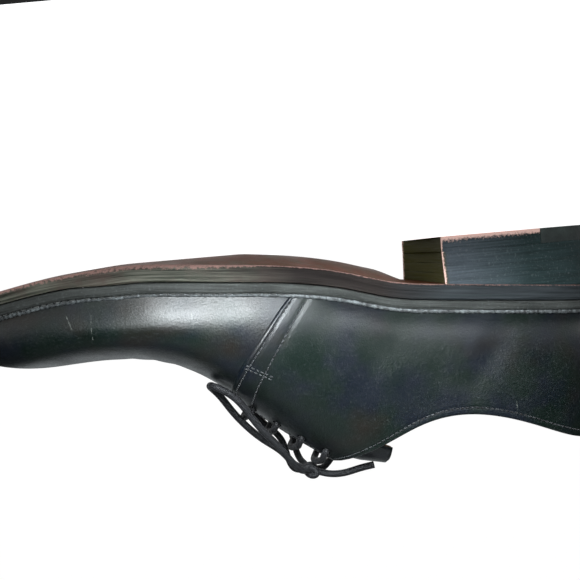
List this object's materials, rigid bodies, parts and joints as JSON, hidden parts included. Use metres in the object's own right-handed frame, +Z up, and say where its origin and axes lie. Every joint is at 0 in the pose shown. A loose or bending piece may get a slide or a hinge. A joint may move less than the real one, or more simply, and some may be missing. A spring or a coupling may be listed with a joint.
{
  "type": "derby shoe",
  "caption": "Black leather lace-up dress shoe for the right foot: open quarters over a plain vamp, welted leather sole and stacked heel.",
  "frame": {"origin": "floor under the middle of the sole's length and width", "axes": "+X to the toe, +Y to the medial (inner) side, +Z up, floor at Z = 0"},
  "size_m": [0.298, 0.1063, 0.1093],
  "materials": {
    "black_leather": "satin, polished",
    "sole_leather": "waxed",
    "welt_leather": "dyed, waxed",
    "edge_leather": "dyed, burnished",
    "lining_leather": "natural",
    "heel_rubber": "matte",
    "waxed_cord": "waxed"
  },
  "bodies": {
    "root": {"outsole": "sole_leather", "welt": "welt_leather", "heel_lift_1": "edge_leather", "heel_lift_2": "edge_leather", "heel_lift_3": "edge_leather", "toplift_leather": "edge_leather", "toplift_rubber": "heel_rubber", "insole": "lining_leather", "upper": "black_leather", "tongue": "black_leather", "lace_bar_1": "waxed_cord", "lace_bar_2": "waxed_cord", "lace_bar_3": "waxed_cord", "lace_bar_4": "waxed_cord", "lace_knot": "waxed_cord", "lace_loop_lateral": "waxed_cord", "lace_loop_medial": "waxed_cord", "lace_end_lateral": "waxed_cord", "lace_end_medial": "waxed_cord"}
  },
  "joints": []
}
